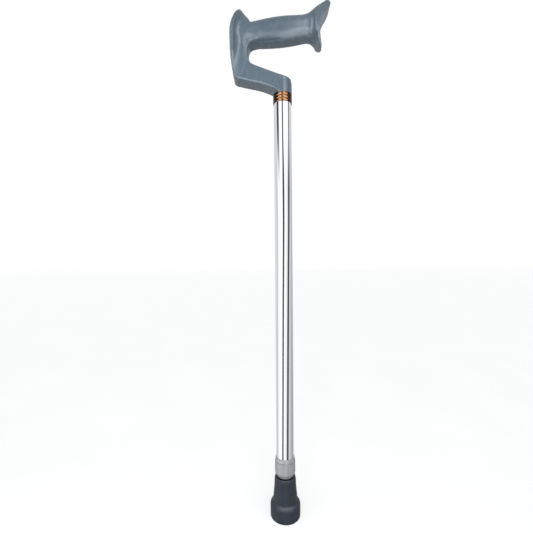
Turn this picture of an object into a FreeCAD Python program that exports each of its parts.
import FreeCAD, Part
import math
import os
import re
import Sketcher
from FreeCAD import Placement, Rotation, Vector

# Height-adjustable single-point walking cane with a guarded palm handle.
# Frame: origin at the centre of the rubber tip's ground face, +Z up the shaft.
# The hand guard is on the -X side of the handle, the heel horn on the +X side,
# and the snap button with its row of adjusting holes faces +Y.
# Rest state: shaft fully collapsed, lock nut tight, snap button out.

os.makedirs("parts", exist_ok=True)
doc = FreeCAD.newDocument("cane")

# ---------------------------------------------------------------- dimensions
# Alias, value or formula, note. Heights are measured from the ground. A formula
# may only use aliases that stand above it.
DIMENSIONS = [
    ("cut_overrun", 2.0, "how far a through cut runs past the material"),
    ("edge_break", 0.3, "base size of the small edge breaks"),
    # rubber tip and its washer
    ("tip_radius", 21.5, "base radius of the rubber tip"),
    ("tip_edge", 1.8, "rounded ground edge"),
    ("tip_base_top", 17.6, "top of the straight base wall"),
    ("tip_shoulder_radius", 17.4, "radius above the shoulder"),
    ("tip_shoulder_top", 23.8, "top of the shoulder"),
    ("tip_rim_radius", 15.3, "neck radius just under the rim"),
    ("tip_top", 56.2, "crest of the rim"),
    ("tip_rim_drop", 2.6, "start of the rim below the crest"),
    ("tip_bevel_inset", 0.5, "inset of the rim's bevel corner"),
    ("tip_bevel_drop", 0.9, "bevel corner below the crest"),
    ("tip_crest_inset", 1.6, "inset of the crest's outer edge"),
    ("tip_mouth_flare", 1.1, "widening of the mouth at the crest"),
    ("tip_mouth_depth", 1.6, "depth of the flared mouth"),
    ("tip_floor", 14.0, "rubber under the washer"),
    ("tread_depth", 1.8, "depth of the two tread grooves"),
    ("tread_land", 6.0, "radius of the central land"),
    ("tread_width", 3.2, "width of one tread groove"),
    ("washer_thick", 2.0, "steel washer inside the tip"),
    ("washer_hole", 3.5, "hole radius of the tip washer"),
    ("washer_gap", 0.06, "radial gap round the tip washer"),
    # shaft tubes
    ("tube_wall", 1.2, "wall of both tubes"),
    ("upper_radius", 12.7, "upper tube outside radius, 25.4 mm tube"),
    ("upper_bore", "=upper_radius - tube_wall", "upper tube inside radius"),
    ("upper_bottom", 70.0, "lower end of the upper tube"),
    ("upper_top", 606.0, "upper end of the upper tube"),
    ("lower_radius", 11.11, "lower tube outside radius, 22.2 mm tube"),
    ("lower_bore", "=lower_radius - tube_wall", "lower tube inside radius"),
    ("lower_bottom", "=tip_floor + washer_thick", "lower tube sits on the tip washer"),
    ("lower_top", 375.0, "upper end of the lower tube"),
    ("hole_pitch", 19.05, "adjusting hole pitch, three quarter inch"),
    ("hole_count", 13, "adjusting holes in the upper tube"),
    ("hole_radius", 3.5, "adjusting hole radius"),
    # snap button: distances are taken from the shaft axis
    ("button_height", 340.0, "height of the snap button above the ground"),
    ("button_guide", 3.45, "radius of the button hole in the lower tube"),
    ("button_radius", 3.4, "snap button radius"),
    ("button_crown", 14.0, "crown of the button"),
    ("rivet_head_radius", 2.4, "head on the button's rivet shank"),
    ("rivet_head_inner", 7.15, "inner face of that head"),
    ("rivet_head_outer", 7.6, "outer face of that head"),
    ("shank_radius", 1.5, "rivet shank of the button"),
    ("button_flange", 4.2, "retaining flange radius"),
    ("flange_inner", 8.3, "inner face of the retaining flange"),
    ("flange_outer", 8.85, "outer face of the retaining flange"),
    # lock at the foot of the upper tube
    ("nut_radius", 14.7, "lock nut outside radius"),
    ("nut_bottom", 58.3, "lock nut lower face"),
    ("nut_chamfer_top", 63.2, "top of the nut's lower taper"),
    ("nut_chamfer_radius", 12.7, "nut radius at its lower face"),
    ("nut_top", 79.6, "lock nut upper face"),
    ("nut_floor", 60.65, "inner shoulder of the nut"),
    ("nut_bore", 13.6, "nut bore over the bush thread"),
    ("nut_hole", 11.35, "nut hole over the lower tube"),
    ("bush_thread", 13.5, "lock bush thread outside radius"),
    ("bush_nose", 12.3, "collet nose radius"),
    ("bush_nose_bottom", 64.0, "collet nose lower end"),
    ("bush_nose_top", 67.0, "collet nose upper end"),
    ("bush_flange", 14.3, "lock bush flange radius"),
    ("bush_flange_bottom", 80.0, "underside of the bush flange"),
    ("bush_flange_wall", 0.6, "straight wall of the bush flange"),
    ("bush_top", 85.0, "top of the bush's tapered lip"),
    ("bush_lip", 13.4, "radius at the top of the lip"),
    ("bush_grip", 11.2, "collet inside radius"),
    ("collet_slot", 1.2, "width of a collet slot"),
    ("collet_slot_depth", 5.0, "depth of a collet slot"),
    ("collet_slot_count", 4, "slots round the collet"),
    ("ring_radius", 13.5, "compression ring outside radius"),
    ("ring_bottom", 61.5, "compression ring lower face"),
    ("ring_seat", 63.9, "inner step of the compression ring"),
    ("ring_top", 65.4, "compression ring upper face"),
    ("ring_seat_gap", 0.07, "gap round the nose at the inner step"),
    ("ring_mouth_gap", 0.67, "gap round the nose at the upper face"),
    ("ring_split_width", 1.4, "width of the ring's split"),
    ("slip_bottom", 60.7, "slip washer lower face"),
    ("slip_thick", 0.75, "slip washer thickness"),
    ("slip_hole", 11.3, "slip washer inside radius"),
    ("slip_inset", 0.1, "slip washer edge inside the ring radius"),
    # glide bush
    ("glide_radius", 11.45, "glide bush flange radius"),
    ("glide_bore", 7.8, "glide bush bore"),
    ("glide_flange", 4.0, "glide bush flange height"),
    ("glide_depth", 15.0, "glide bush depth in the tube"),
    # snap spring
    ("spring_width", 8.0, "strip width"),
    ("spring_thick", 0.6, "strip thickness"),
    ("spring_reach", 8.25, "outer face of each leg from the axis"),
    ("spring_top", 352.0, "top of the legs"),
    ("spring_knee", 322.0, "where the legs start to close"),
    ("spring_knee_rise", 0.06, "inner knee above the outer one"),
    ("spring_bend", 299.0, "bottom of the bend"),
    ("spring_foot", 3.4, "outer half width at the top of the bend"),
    ("spring_foot_rise", 1.6, "that corner above the bend"),
    ("spring_foot_inner_rise", 1.9, "the matching inner corner above the bend"),
    ("spring_flat", 1.6, "outer half width of the bend's flat"),
    ("spring_flat_inner", 1.35, "inner half width of the bend's flat"),
    ("spring_hole", 1.6, "rivet hole radius of the spring"),
    # collar ring
    ("collar_height", 13.0, "collar ring height"),
    ("collar_bottom", "=upper_top - collar_height", "collar ring lower end"),
    ("collar_radius", 13.6, "crest radius of a bead"),
    ("bead_radius", 5.4, "bead section radius"),
    # handle fixing
    ("spigot_bottom", 566.0, "lower end of the spigot"),
    ("spigot_counterbore", 7.2, "counterbore radius for the bolt head"),
    ("spigot_web", 590.0, "underside of the web the bolt pulls on"),
    ("spigot_hole", 3.3, "bolt clearance hole radius"),
    ("lock_washer_radius", 5.6, "split washer radius"),
    ("lock_washer_thick", 1.6, "split washer thickness"),
    ("lock_washer_gap", 0.2, "gap between washer and bolt"),
    ("lock_washer_split", 1.0, "width of the washer's split"),
    ("bolt_radius", 3.0, "handle bolt radius"),
    ("bolt_head", 5.2, "handle bolt head radius"),
    ("bolt_head_height", 6.0, "handle bolt head height"),
    ("bolt_head_top", "=spigot_web - lock_washer_thick", "seat of the bolt head"),
    ("bolt_head_bottom", "=bolt_head_top - bolt_head_height", "lower end of the bolt"),
    ("bolt_tip", 624.0, "end of the handle bolt"),
    ("bolt_chamfer", 0.6, "chamfer of the bolt's end"),
    ("bolt_socket", 2.9, "half width across flats of the key socket"),
    ("bolt_socket_depth", 3.4, "depth of the key socket"),
    ("insert_radius", 5.6, "threaded insert outside radius"),
    ("insert_bottom", 607.0, "threaded insert lower end"),
    ("insert_top", 626.0, "threaded insert upper end"),
    ("insert_land", 5.0, "full-radius length under each groove"),
    ("insert_groove", 2.0, "height of a retaining groove"),
    ("insert_groove_depth", 0.8, "depth of a retaining groove"),
    ("rivet_radius", 1.6, "spigot rivet radius"),
    ("rivet_height", 599.5, "height of the two spigot rivets"),
    ("rivet_inner", 7.6, "inner end of a rivet"),
    ("rivet_sink", 0.15, "rivet end below the tube's surface"),
    # handle
    ("socket_radius", 13.4, "round socket of the handle above the tube"),
    ("socket_top", 624.6, "top of the round socket"),
    ("neck_width", 26.7, "neck width across Y"),
    ("neck_round", 2.0, "chamfer of the neck's long edges"),
    ("plate_width", 46.0, "blank width of the hand guard across Y"),
    ("horn_width", 46.0, "blank width of the heel plate across Y"),
    ("heel_blank_start", 36.0, "X where the heel's rear blank starts"),
    ("heel_blank_length", 40.0, "length of that blank along X"),
    ("rim_depth", 4.6, "depth of the guard's full-width rim"),
    ("flare_depth", 14.5, "depth over which the guard narrows to the web"),
]

# Outlines in the XZ plane: x, z of each corner.
WEB = [
    (-48.0, 654.8), (-48.5, 661.8), (-48.3, 668.4), (-46.4, 674.2), (-42.6, 678.8),
    (-37.5, 682.0), (-37.0, 690.0), (-69.4, 690.0), (-70.6, 664.0), (-69.8, 646.0),
    (-68.6, 632.4), (-64.5, 625.9), (-58.5, 624.3), (-47.0, 624.3), (-44.0, 645.6),
    (-46.4, 649.0)]
PLATE = [
    (-60.0, 627.0), (-56.0, 634.0), (-53.5, 648.0), (-53.0, 662.0), (-53.0, 680.0),
    (-49.6, 698.0), (-46.3, 706.6), (-48.7, 712.6), (-51.9, 718.6), (-55.7, 723.8),
    (-59.8, 726.0), (-63.2, 725.0), (-65.7, 720.6), (-67.5, 715.6), (-69.5, 709.2),
    (-71.2, 703.6), (-72.8, 697.6), (-74.0, 690.0), (-74.1, 680.0), (-73.9, 666.0),
    (-73.2, 653.0), (-71.8, 641.8), (-70.2, 631.8), (-69.0, 628.8), (-66.6, 626.8),
    (-63.5, 626.0)]
HORN = [
    (57.0, 671.0), (56.8, 673.0), (54.9, 678.0), (53.2, 684.0), (52.6, 690.0),
    (53.2, 697.0), (54.8, 704.0), (57.2, 711.0), (60.6, 718.0), (64.8, 725.0),
    (67.4, 731.0), (67.6, 736.0), (66.8, 739.4), (64.8, 741.2), (61.0, 739.0),
    (56.0, 735.0), (51.5, 731.2), (50.8, 718.0), (50.4, 711.0), (50.2, 704.0),
    (49.7, 697.0), (48.9, 690.0), (48.4, 684.0), (49.9, 678.0), (53.0, 673.0),
    (55.0, 671.2)]
# Heel plate seen along X: half width, z.
EGG = [
    (0.6, 671.0), (7.0, 672.6), (12.0, 675.8), (16.4, 681.2), (20.2, 688.6),
    (22.3, 696.0), (22.7, 702.0), (21.6, 708.4), (18.9, 715.6), (15.6, 722.4),
    (12.4, 729.6), (9.8, 735.4), (6.0, 739.8), (1.5, 741.4)]
# Neck sections: x, lower z, upper z.
NECK = [
    (-62.0, 624.9, 652.0), (-46.1, 621.1, 646.8), (-29.5, 617.2, 640.3),
    (-13.0, 610.6, 634.2), (6.0, 606.0, 627.8)]
# Palm grip sections: x, upper z, lower z, half width.
PALM = [
    (-62.0, 705.2, 683.0, 14.0), (-45.0, 708.8, 679.6, 16.6), (-28.0, 712.2, 679.0, 18.0),
    (-11.0, 715.3, 679.8, 18.7), (6.0, 717.1, 681.4, 18.8), (23.0, 717.9, 684.0, 18.3),
    (38.0, 721.6, 686.0, 17.6), (43.0, 724.5, 684.6, 19.4), (47.8, 728.0, 681.2, 21.8),
    (51.5, 731.2, 678.4, 22.3)]
# The heel flare starts at this row of PALM.
FLARE_START = 6
# Hand guard seen along X: z, half width of the rim, half width behind the rim,
# x of the front (-X) face.
GUARD = [
    (618.0, 13.0, 12.4, -68.4), (630.0, 14.8, 12.6, -70.2), (642.0, 16.8, 12.7, -71.8),
    (656.0, 19.2, 12.9, -73.4), (672.0, 21.4, 14.0, -74.0), (686.0, 22.4, 15.2, -74.1),
    (698.0, 22.2, 15.0, -72.8), (708.0, 20.4, 12.6, -69.9), (716.0, 16.8, 9.0, -67.4),
    (722.0, 12.2, 5.6, -65.2), (726.2, 6.8, 3.0, -63.6)]
# X of the sections through the guard's shield.
SHIELD = [(-76.0,), (-69.4,), (-66.0,), (-62.0,), (-57.5,), (-45.0,)]
# Exponent of the curve by which the shield narrows behind its rim.
FLARE_POWER = 2.1
# Button crown: share of the button radius, drop below the crown.
CROWN = [(1.0, 1.3), (0.86, 0.55), (0.5, 0.12)]
SHOULDER_STEPS = 6
TREAD_GROOVES = 2
INSERT_GROOVES = 2
COLLAR_BEADS = 3

sheet = doc.addObject("Spreadsheet::Sheet", "dims")


def table_cells(tag, columns, rows):
    """One dimension per table entry, with the alias tag_column_row."""
    return [("%s_%s_%02d" % (tag, column, i), value, "")
            for i, row in enumerate(rows) for column, value in zip(columns, row)]


def fill_sheet():
    cells = list(DIMENSIONS)
    for tag, outline in (("web", WEB), ("plate", PLATE), ("horn", HORN), ("egg", EGG)):
        cells += table_cells(tag, ("x", "z"), outline)
    cells += table_cells("neck", ("x", "low", "high"), NECK)
    cells += table_cells("palm", ("x", "high", "low", "half"), PALM)
    cells += table_cells("guard", ("z", "rim", "root", "front"), GUARD)
    cells += table_cells("shield", ("x",), SHIELD)
    for row, (alias, value, note) in enumerate(cells, start=1):
        sheet.set("A%d" % row, alias)
        sheet.set("B%d" % row, str(value))
        sheet.setAlias("B%d" % row, alias)
        if note:
            sheet.set("C%d" % row, note)
    doc.recompute()


# ------------------------------------------------------------------- helpers
# Expressions below use bare aliases. Every alias contains an underscore.
def from_sheet(expression):
    """The expression with each alias pointed at the sheet."""
    return re.sub(r"\b([a-z]+_\w+)", r"dims.\1", expression)


def val(expression):
    """Present value of an expression."""
    found = sheet.evalExpression(from_sheet(expression))
    return float(getattr(found, "Value", found))


def drive(obj, prop, expression):
    """Set a property and bind it to the sheet."""
    setattr(obj, prop, val(expression))
    obj.setExpression(prop, from_sheet(expression))


def new_body(name):
    return doc.addObject("PartDesign::Body", name)


def new_sketch(body, name, role, offset=None):
    """Sketch on an origin plane, moved by offset along the plane's normal."""
    sketch = body.newObject("Sketcher::SketchObject", name)
    plane = [f for f in body.Origin.OriginFeatures if f.Role == role][0]
    sketch.AttachmentSupport = (plane, [""])
    sketch.MapMode = "FlatFace"
    if offset is not None:
        sketch.setExpression("AttachmentOffset.Base.z", from_sheet(offset))
    return sketch


def bind(sketch, expression, kind, *where):
    """Dimensional constraint bound to the sheet."""
    index = sketch.addConstraint(Sketcher.Constraint(kind, *where, val(expression)))
    sketch.setExpression("Constraints[%d]" % index, from_sheet(expression))


def polygon(sketch, points):
    """Closed polygon whose corners are all bound to the sheet."""
    first = sketch.GeometryCount
    count = len(points)
    spots = [Vector(val(x), val(y), 0) for x, y in points]
    for i in range(count):
        sketch.addGeometry(Part.LineSegment(spots[i], spots[(i + 1) % count]), False)
    for i in range(count):
        sketch.addConstraint(
            Sketcher.Constraint("Coincident", first + i, 2, first + (i + 1) % count, 1))
    for i, (x, y) in enumerate(points):
        bind(sketch, x, "DistanceX", -1, 1, first + i, 1)
        bind(sketch, y, "DistanceY", -1, 1, first + i, 1)


def mirrored(half):
    """Half outline closed by its mirror image across the vertical axis."""
    return half + [("-(%s)" % x, y) for x, y in reversed(half)]


def radial_slot(sketch, inner, outer, width):
    """Rectangle on the +X axis that runs past both radii."""
    start = "%s - cut_overrun" % inner
    end = "%s + cut_overrun" % outer
    polygon(sketch, [(start, "-%s / 2" % width), (end, "-%s / 2" % width),
                     (end, "%s / 2" % width), (start, "%s / 2" % width)])


def circle(sketch, radius, y="0"):
    index = sketch.addGeometry(
        Part.Circle(Vector(0, val(y), 0), Vector(0, 0, 1), val(radius)), False)
    bind(sketch, radius, "Radius", index)
    bind(sketch, "0", "DistanceX", -1, 1, index, 3)
    bind(sketch, y, "DistanceY", -1, 1, index, 3)


def ellipse(sketch, centre_y, half_x, half_y):
    """Ellipse centred on the vertical axis, its axes along the sketch axes."""
    width, height = val(half_x), val(half_y)
    wide = width >= height
    centre = Vector(0, val(centre_y), 0)
    major = centre + (Vector(width, 0, 0) if wide else Vector(0, height, 0))
    minor = centre + (Vector(0, height, 0) if wide else Vector(-width, 0, 0))
    index = sketch.addGeometry(Part.Ellipse(major, minor, centre), False)
    sketch.exposeInternalGeometry(index)
    long_axis, short_axis = index + 1, index + 2
    long_half, short_half = (half_x, half_y) if wide else (half_y, half_x)
    bind(sketch, "0", "DistanceX", -1, 1, index, 3)
    bind(sketch, centre_y, "DistanceY", -1, 1, index, 3)
    sketch.addConstraint(Sketcher.Constraint("Horizontal" if wide else "Vertical", long_axis))
    bind(sketch, "2 * (%s)" % long_half, "Distance", long_axis)
    bind(sketch, "2 * (%s)" % short_half, "Distance", short_axis)


def revolve(body, name, points):
    """Full turn about Z of an outline given as radius, height."""
    sketch = new_sketch(body, name + "_profile", "XZ_Plane")
    polygon(sketch, points)
    feature = body.newObject("PartDesign::Revolution", name)
    feature.Profile = sketch
    feature.ReferenceAxis = (sketch, ["V_Axis"])
    feature.Angle = 360.0
    sketch.Visibility = False
    doc.recompute()


def pad(body, name, sketch, length, midplane=False):
    feature = body.newObject("PartDesign::Pad", name)
    feature.Profile = sketch
    feature.Midplane = midplane
    drive(feature, "Length", length)
    sketch.Visibility = False
    doc.recompute()


def pocket(body, name, sketch, length, midplane=False, reverse=False):
    """Cut against the sketch normal: -Z from XY, +Y from XZ, -X from YZ."""
    before = body.Shape.Volume
    feature = body.newObject("PartDesign::Pocket", name)
    feature.Profile = sketch
    feature.Midplane = midplane
    feature.Reversed = reverse
    drive(feature, "Length", length)
    sketch.Visibility = False
    doc.recompute()
    if not body.Shape.Volume < before - 1e-6:
        raise RuntimeError("pocket %s cut nothing" % name)
    return feature


def drill(body, name, sketch_name, role, radius, height, length, **direction):
    """Cross hole through the shaft axis at this height."""
    sketch = new_sketch(body, sketch_name, role)
    circle(sketch, radius, height)
    pocket(body, name, sketch, length, **direction)


def break_edge(body, name, size, radius, height, kind="Fillet"):
    """Fillet or chamfer the circular edges of this radius at this height."""
    base = body.Tip
    edges = []
    for i, edge in enumerate(base.Shape.Edges):
        curve = edge.Curve
        if (isinstance(curve, Part.Circle) and abs(curve.Radius - val(radius)) < 1e-3
                and abs(curve.Center.z - val(height)) < 1e-3):
            edges.append("Edge%d" % (i + 1))
    if not edges:
        raise RuntimeError("no edges for " + name)
    feature = body.newObject("PartDesign::" + kind, name)
    feature.Base = (base, edges)
    drive(feature, "Radius" if kind == "Fillet" else "Size", size)
    doc.recompute()


def loft(body, name, sections, ruled=True):
    doc.recompute()
    feature = body.newObject("PartDesign::AdditiveLoft", name)
    feature.Profile = sections[0]
    feature.Sections = sections[1:]
    feature.Ruled = ruled
    for sketch in sections:
        sketch.Visibility = False
    doc.recompute()


def primitive(kind, name, bottom, **sizes):
    """Part primitive at a height on the Z axis, every size bound to the sheet."""
    obj = doc.addObject(kind, name)
    for prop, expression in sizes.items():
        drive(obj, prop, expression)
    obj.Placement = Placement(Vector(0, 0, val(bottom)), Rotation())
    obj.setExpression("Placement.Base.z", from_sheet(bottom))
    return obj


def cylinder(name, bottom, radius, height):
    return primitive("Part::Cylinder", name, bottom, Radius=radius, Height=height)


def boolean(kind, name, base, tool):
    obj = doc.addObject(kind, name)
    obj.Base = base
    obj.Tool = tool
    base.Visibility = False
    tool.Visibility = False
    return obj


def fuse(name, *shapes):
    obj = doc.addObject("Part::MultiFuse", name)
    obj.Shapes = list(shapes)
    for shape in shapes:
        shape.Visibility = False
    return obj


# ---------------------------------------------------------------- lower shaft
def rubber_tip():
    """Treaded base, rounded shoulder and a tapering neck round the tube."""
    body = new_body("rubber_tip")
    tread = []
    for k in range(TREAD_GROOVES):
        inner = "tread_land + %d * tread_width" % (2 * k)
        outer = "tread_land + %d * tread_width" % (2 * k + 1)
        tread += [(inner, "0"), (inner, "tread_depth"), (outer, "tread_depth"), (outer, "0")]
    # quarter-ellipse shoulder between the base wall and the neck
    shoulder = []
    for k in range(1, SHOULDER_STEPS + 1):
        angle = math.radians(90.0 * k / SHOULDER_STEPS)
        shoulder.append((
            "tip_shoulder_radius + (tip_radius - tip_shoulder_radius) * %.6f" % math.cos(angle),
            "tip_base_top + (tip_shoulder_top - tip_base_top) * %.6f" % math.sin(angle)))
    revolve(body, "tip_moulding", [("0", "0")] + tread + [
        ("tip_radius", "0"),
        ("tip_radius", "tip_base_top")] + shoulder + [
        ("tip_rim_radius", "tip_top - tip_rim_drop"),
        ("tip_rim_radius - tip_bevel_inset", "tip_top - tip_bevel_drop"),
        ("tip_rim_radius - tip_crest_inset", "tip_top"),
        ("lower_radius + tip_mouth_flare", "tip_top"),
        ("lower_radius", "tip_top - tip_mouth_depth"),
        ("lower_radius", "tip_floor"),
        ("0", "tip_floor")])
    break_edge(body, "ground_edge", "tip_edge", "tip_radius", "0")
    return body


def tip_washer():
    """Steel washer between the rubber floor and the lower tube."""
    disc = cylinder("tip_washer_disc", "tip_floor", "lower_radius - washer_gap", "washer_thick")
    hole = cylinder("tip_washer_hole", "tip_floor", "washer_hole", "washer_thick")
    return boolean("Part::Cut", "tip_washer", disc, hole)


def lower_tube():
    """Tube with the hole that guides the snap button."""
    body = new_body("lower_tube")
    revolve(body, "lower_tube_wall", [
        ("lower_bore", "lower_bottom"), ("lower_radius", "lower_bottom"),
        ("lower_radius", "lower_top"), ("lower_bore", "lower_top")])
    drill(body, "button_hole", "button_hole_sketch", "XZ_Plane", "button_guide",
          "button_height", "lower_radius + cut_overrun")
    return body


def glide_bush():
    """Plastic bush in the lower tube's top, which centres it in the upper tube."""
    body = new_body("glide_bush")
    bottom, top = "lower_top - glide_depth", "lower_top + glide_flange"
    revolve(body, "glide_moulding", [
        ("glide_bore", bottom), ("lower_bore", bottom), ("lower_bore", "lower_top"),
        ("glide_radius", "lower_top"), ("glide_radius", top), ("glide_bore", top)])
    break_edge(body, "glide_chamfer", "edge_break * 2", "glide_radius", top, kind="Chamfer")
    return body


def snap_spring():
    """Steel strip bent to a V, with its legs on the -Y and +Y sides."""
    body = new_body("snap_spring")
    sketch = new_sketch(body, "spring_profile", "YZ_Plane")
    polygon(sketch, mirrored([
        ("spring_flat", "spring_bend"),
        ("spring_foot", "spring_bend + spring_foot_rise"),
        ("spring_reach", "spring_knee"),
        ("spring_reach", "spring_top"),
        ("spring_reach - spring_thick", "spring_top"),
        ("spring_reach - spring_thick", "spring_knee + spring_knee_rise"),
        ("spring_foot - spring_thick", "spring_bend + spring_foot_inner_rise"),
        ("spring_flat_inner", "spring_bend + spring_thick")]))
    pad(body, "spring_strip", sketch, "spring_width", midplane=True)
    drill(body, "rivet_hole", "rivet_hole_sketch", "XZ_Plane", "spring_hole",
          "button_height", "spring_reach + cut_overrun")
    return body


def snap_button():
    """Domed pin with a retaining flange and a rivet shank through the spring."""
    body = new_body("snap_button")
    crown = [("button_radius * %g" % share, "button_crown - %g" % drop)
             for share, drop in CROWN]
    revolve(body, "button_turning", [
        ("0", "rivet_head_inner"), ("rivet_head_radius", "rivet_head_inner"),
        ("rivet_head_radius", "rivet_head_outer"), ("shank_radius", "rivet_head_outer"),
        ("shank_radius", "flange_inner"), ("button_flange", "flange_inner"),
        ("button_flange", "flange_outer"), ("button_radius", "flange_outer")]
        + crown + [("0", "button_crown")])
    # turned on Z, then laid over to face +Y
    body.Placement = Placement(Vector(0, 0, val("button_height")),
                               Rotation(Vector(1, 0, 0), -90))
    body.setExpression("Placement.Base.z", from_sheet("button_height"))
    return body


# ---------------------------------------------------------------- upper shaft
def upper_tube():
    """Tube with adjusting holes on the +Y side and rivet holes near its top."""
    body = new_body("upper_tube")
    revolve(body, "upper_tube_wall", [
        ("upper_bore", "upper_bottom"), ("upper_radius", "upper_bottom"),
        ("upper_radius", "upper_top"), ("upper_bore", "upper_top")])
    # the lowest hole is cut first, and the pattern climbs to the button
    row_length = "(hole_count - 1) * hole_pitch"
    sketch = new_sketch(body, "adjusting_hole_sketch", "XZ_Plane")
    circle(sketch, "hole_radius", "button_height - " + row_length)
    hole = pocket(body, "adjusting_hole", sketch, "upper_radius + cut_overrun")
    pattern = body.newObject("PartDesign::LinearPattern", "adjusting_holes")
    pattern.Originals = [hole]
    pattern.Direction = (sketch, ["V_Axis"])
    drive(pattern, "Length", row_length)
    pattern.Occurrences = int(val("hole_count"))
    body.Tip = pattern
    doc.recompute()
    drill(body, "tube_rivet_holes", "tube_rivet_sketch", "YZ_Plane", "rivet_radius",
          "rivet_height", "2 * (upper_radius + cut_overrun)", midplane=True)
    return body


def lock_bush():
    """Flange, thread and slotted collet nose on the foot of the upper tube."""
    body = new_body("lock_bush")
    revolve(body, "bush_turning", [
        ("bush_grip", "bush_nose_bottom"), ("bush_nose", "bush_nose_bottom"),
        ("bush_thread", "bush_nose_top"), ("bush_thread", "bush_flange_bottom"),
        ("bush_flange", "bush_flange_bottom"),
        ("bush_flange", "bush_flange_bottom + bush_flange_wall"),
        ("bush_lip", "bush_top"), ("upper_radius", "bush_top"),
        ("upper_radius", "upper_bottom"), ("bush_grip", "upper_bottom")])
    sketch = new_sketch(body, "collet_slot_sketch", "XY_Plane", "bush_nose_bottom")
    radial_slot(sketch, "bush_grip", "bush_thread", "collet_slot")
    slot = pocket(body, "collet_slot", sketch, "collet_slot_depth", reverse=True)
    pattern = body.newObject("PartDesign::PolarPattern", "collet_slots")
    pattern.Originals = [slot]
    pattern.Axis = (sketch, ["N_Axis"])
    pattern.Angle = 360.0
    pattern.Occurrences = int(val("collet_slot_count"))
    body.Tip = pattern
    doc.recompute()
    return body


def compression_ring():
    """Split ring that squeezes the collet onto the lower tube."""
    body = new_body("compression_ring")
    revolve(body, "ring_turning", [
        ("bush_grip", "ring_bottom"), ("ring_radius", "ring_bottom"),
        ("ring_radius", "ring_top"), ("bush_nose + ring_mouth_gap", "ring_top"),
        ("bush_nose + ring_seat_gap", "ring_seat"), ("bush_grip", "ring_seat")])
    sketch = new_sketch(body, "ring_split_sketch", "XY_Plane", "ring_bottom")
    radial_slot(sketch, "bush_grip", "ring_radius", "ring_split_width")
    pocket(body, "ring_split", sketch, "ring_top - ring_bottom + cut_overrun", reverse=True)
    return body


def slip_washer():
    """Washer between the compression ring and the turning nut."""
    disc = cylinder("slip_disc", "slip_bottom", "ring_radius - slip_inset", "slip_thick")
    hole = cylinder("slip_disc_hole", "slip_bottom", "slip_hole", "slip_thick")
    return boolean("Part::Cut", "slip_washer", disc, hole)


def lock_nut():
    """Plain sleeve with a tapered lower end and an inner shoulder."""
    body = new_body("lock_nut")
    revolve(body, "nut_turning", [
        ("nut_hole", "nut_bottom"), ("nut_chamfer_radius", "nut_bottom"),
        ("nut_radius", "nut_chamfer_top"), ("nut_radius", "nut_top"),
        ("nut_bore", "nut_top"), ("nut_bore", "nut_floor"), ("nut_hole", "nut_floor")])
    break_edge(body, "nut_lip", "edge_break * 1.5", "nut_radius", "nut_top")
    break_edge(body, "nut_taper_edge", "edge_break * 4", "nut_radius", "nut_chamfer_top")
    return body


def collar_ring():
    """Rounded beads round the top of the upper tube."""
    beads = [
        primitive("Part::Torus", "collar_bead_%d" % (k + 1),
                  "collar_bottom + collar_height * %d / %d" % (2 * k + 1, 2 * COLLAR_BEADS),
                  Radius1="collar_radius - bead_radius", Radius2="bead_radius")
        for k in range(COLLAR_BEADS)]
    outer = cylinder("collar_envelope", "collar_bottom", "collar_radius + cut_overrun",
                     "collar_height")
    inner = cylinder("collar_bore", "collar_bottom", "upper_radius", "collar_height")
    band = boolean("Part::Cut", "collar_band", outer, inner)
    return boolean("Part::Common", "collar_ring", fuse("collar_beads", *beads), band)


# -------------------------------------------------------------- handle fixing
def handle_spigot():
    """Plug in the top of the tube, counterbored from below for the bolt head."""
    body = new_body("handle_spigot")
    revolve(body, "spigot_turning", [
        ("spigot_counterbore", "spigot_bottom"), ("upper_bore", "spigot_bottom"),
        ("upper_bore", "upper_top"), ("spigot_hole", "upper_top"),
        ("spigot_hole", "spigot_web"), ("spigot_counterbore", "spigot_web")])
    # rivet seats on the -X side, then on the +X side
    for name, sketch_name, reverse in (
            ("rivet_seat_front", "rivet_seat_sketch", False),
            ("rivet_seat_back", "rivet_seat_back_sketch", True)):
        drill(body, name, sketch_name, "YZ_Plane", "rivet_radius", "rivet_height",
              "upper_bore + cut_overrun", reverse=reverse)
    return body


def spigot_rivets():
    """Two rivets on the X axis that pin the spigot, hidden by the collar ring."""
    rivets = []
    for name, side in (("rivet_near", 1), ("rivet_far", -1)):
        rod = cylinder(name, "rivet_height", "rivet_radius",
                       "upper_radius - rivet_inner - rivet_sink")
        inner_end = "%d * rivet_inner" % side
        rod.Placement = Placement(Vector(val(inner_end), 0, val("rivet_height")),
                                  Rotation(Vector(0, 1, 0), 90 * side))
        rod.setExpression("Placement.Base.x", from_sheet(inner_end))
        rivets.append(rod)
    return fuse("spigot_rivets", *rivets)


def handle_bolt():
    """Bolt with a hexagon socket in its head, head down."""
    body = new_body("handle_bolt")
    revolve(body, "bolt_turning", [
        ("0", "bolt_head_bottom"), ("bolt_head", "bolt_head_bottom"),
        ("bolt_head", "bolt_head_top"), ("bolt_radius", "bolt_head_top"),
        ("bolt_radius", "bolt_tip - bolt_chamfer"),
        ("bolt_radius - bolt_chamfer", "bolt_tip"), ("0", "bolt_tip")])
    sketch = new_sketch(body, "bolt_socket_sketch", "XY_Plane", "bolt_head_bottom")
    corners = []
    for k in range(6):
        angle = math.radians(60 * k)
        # corner radius over half the width across flats
        ratio = 1 / math.cos(math.radians(30))
        corners.append(("bolt_socket * %.6f" % (math.cos(angle) * ratio),
                        "bolt_socket * %.6f" % (math.sin(angle) * ratio)))
    polygon(sketch, corners)
    pocket(body, "bolt_socket", sketch, "bolt_socket_depth", reverse=True)
    return body


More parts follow.
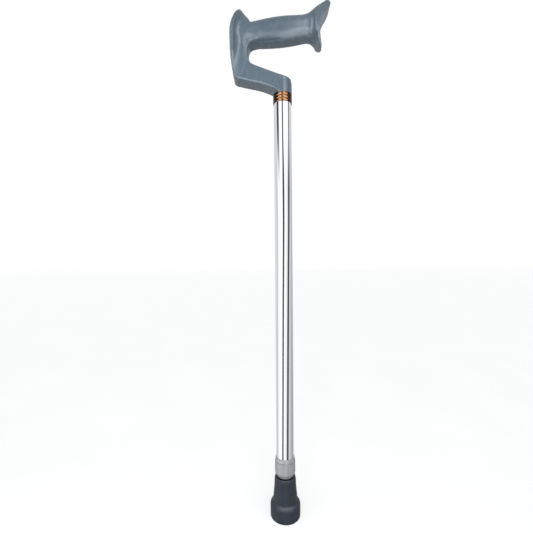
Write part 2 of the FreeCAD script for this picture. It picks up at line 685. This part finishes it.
def bolt_washer():
    """Split lock washer between the bolt head and the spigot's web."""
    body = new_body("bolt_washer")
    inner = "bolt_radius + lock_washer_gap"
    revolve(body, "washer_turning", [
        (inner, "bolt_head_top"), ("lock_washer_radius", "bolt_head_top"),
        ("lock_washer_radius", "spigot_web"), (inner, "spigot_web")])
    sketch = new_sketch(body, "washer_split_sketch", "XY_Plane", "spigot_web")
    radial_slot(sketch, inner, "lock_washer_radius", "lock_washer_split")
    pocket(body, "washer_split", sketch, "lock_washer_thick + cut_overrun")
    return body


def handle_insert():
    """Threaded brass insert in the neck, with two retaining grooves."""
    body = new_body("handle_insert")
    root = "insert_radius - insert_groove_depth"
    grooves = []
    for k in range(INSERT_GROOVES):
        low = "insert_bottom + %d * insert_land + %d * insert_groove" % (k + 1, k)
        high = low + " + insert_groove"
        grooves += [("insert_radius", low), (root, low), (root, high), ("insert_radius", high)]
    revolve(body, "insert_turning", [
        ("bolt_radius", "insert_bottom"), ("insert_radius", "insert_bottom")] + grooves + [
        ("insert_radius", "insert_top"), ("bolt_radius", "insert_top")])
    return body


# --------------------------------------------------------------------- handle
def outline(tag, rows):
    """Corner expressions of an outline table."""
    return [("%s_x_%02d" % (tag, i), "%s_z_%02d" % (tag, i)) for i in range(len(rows))]


def side_blank(name, sketch_name, pad_name, points, width):
    """XZ outline padded to both sides of the XZ plane."""
    body = new_body(name)
    sketch = new_sketch(body, sketch_name, "XZ_Plane")
    polygon(sketch, points)
    pad(body, pad_name, sketch, width, midplane=True)
    return body


def neck_region():
    """Chamfered rectangles lofted along X, from the web down to the socket."""
    body = new_body("neck_region")
    side = "neck_width / 2"
    flat = "%s - neck_round" % side
    sections = []
    for k in range(len(NECK)):
        low, high = "neck_low_%02d" % k, "neck_high_%02d" % k
        low_corner, high_corner = low + " + neck_round", high + " - neck_round"
        sketch = new_sketch(body, "neck_section_%d" % (k + 1), "YZ_Plane", "neck_x_%02d" % k)
        polygon(sketch, [
            ("-(%s)" % side, low_corner), ("-(%s)" % flat, low),
            (flat, low), (side, low_corner),
            (side, high_corner), (flat, high),
            ("-(%s)" % flat, high), ("-(%s)" % side, high_corner)])
        sections.append(sketch)
    loft(body, "neck", sections)
    return body


def hand_guard():
    """Shield lofted back from its rim to the web, crossed with its side outline."""
    blank = side_blank("guard_side", "guard_side_outline", "guard_side_pad",
                       outline("plate", PLATE), "plate_width")
    body = new_body("guard_shield")
    sections = []
    for k, (x,) in enumerate(SHIELD):
        sketch = new_sketch(body, "guard_section_%d" % (k + 1), "YZ_Plane", "shield_x_%02d" % k)
        half = []
        for i, (_, _, _, front) in enumerate(GUARD):
            # share of the fall from rim to root at this depth behind the front
            depth = (x - front - val("rim_depth")) / val("flare_depth")
            fall = 1 - (1 - min(max(depth, 0.0), 1.0)) ** FLARE_POWER
            half.append(("guard_rim_%02d - (guard_rim_%02d - guard_root_%02d) * %.4f"
                         % (i, i, i, fall), "guard_z_%02d" % i))
        polygon(sketch, mirrored(half))
        sections.append(sketch)
    loft(body, "shield", sections)
    return boolean("Part::Common", "hand_guard", blank, body)


def grip_region():
    """Ellipses lofted along X: a smooth palm grip, then the flare to the heel."""
    body = new_body("grip_region")
    sections = []
    for k in range(len(PALM)):
        high, low = "palm_high_%02d" % k, "palm_low_%02d" % k
        sketch = new_sketch(body, "grip_section_%d" % (k + 1), "YZ_Plane", "palm_x_%02d" % k)
        ellipse(sketch, "(%s + %s) / 2" % (high, low), "palm_half_%02d" % k,
                "(%s - %s) / 2" % (high, low))
        sections.append(sketch)
    loft(body, "palm_grip", sections[:FLARE_START + 1], ruled=False)
    loft(body, "heel_flare", sections[FLARE_START:])
    return body


def heel_flange():
    """Side outline crossed with an egg-shaped outline seen along X."""
    blank = side_blank("heel_side", "heel_side_outline", "heel_side_pad",
                       outline("horn", HORN), "horn_width")
    body = new_body("heel_rear")
    sketch = new_sketch(body, "heel_rear_outline", "YZ_Plane", "heel_blank_start")
    polygon(sketch, mirrored(outline("egg", EGG)))
    pad(body, "heel_rear_pad", sketch, "heel_blank_length")
    return boolean("Part::Common", "heel_flange", blank, body)


def socket_region():
    """Round foot of the handle, standing on the end of the tube."""
    body = new_body("socket_region")
    sketch = new_sketch(body, "socket_circle", "XY_Plane", "upper_top")
    circle(sketch, "socket_radius")
    pad(body, "socket", sketch, "socket_top - upper_top")
    return body


def handle_grip():
    """One moulding, fused from its regions and hollowed for the insert."""
    # the web closes the C between neck and grip
    web = side_blank("web_region", "web_outline", "web", outline("web", WEB), "neck_width")
    solid = fuse("handle_moulding", neck_region(), web, hand_guard(), grip_region(),
                 heel_flange(), socket_region())
    cavity = cylinder("insert_cavity", "upper_top", "insert_radius", "insert_top - upper_top")
    return boolean("Part::Cut", "handle_grip", solid, cavity)


# --------------------------------------------------------------------- output
fill_sheet()
pieces = [build() for build in (
    rubber_tip, tip_washer, lower_tube, glide_bush, snap_spring, snap_button,
    upper_tube, lock_bush, compression_ring, slip_washer, lock_nut, collar_ring,
    handle_spigot, spigot_rivets, handle_bolt, bolt_washer, handle_insert, handle_grip)]
doc.recompute()
for obj in doc.Objects:
    if "Invalid" in obj.State or "Error" in obj.State:
        raise RuntimeError("%s failed: %s" % (obj.Name, obj.State))
for piece in pieces:
    shape = piece.Shape
    if shape.isNull() or not shape.isValid() or not shape.Solids:
        raise RuntimeError("%s has no valid solid" % piece.Label)
for piece in pieces:
    piece.Shape.exportStep("parts/%s.step" % piece.Label)
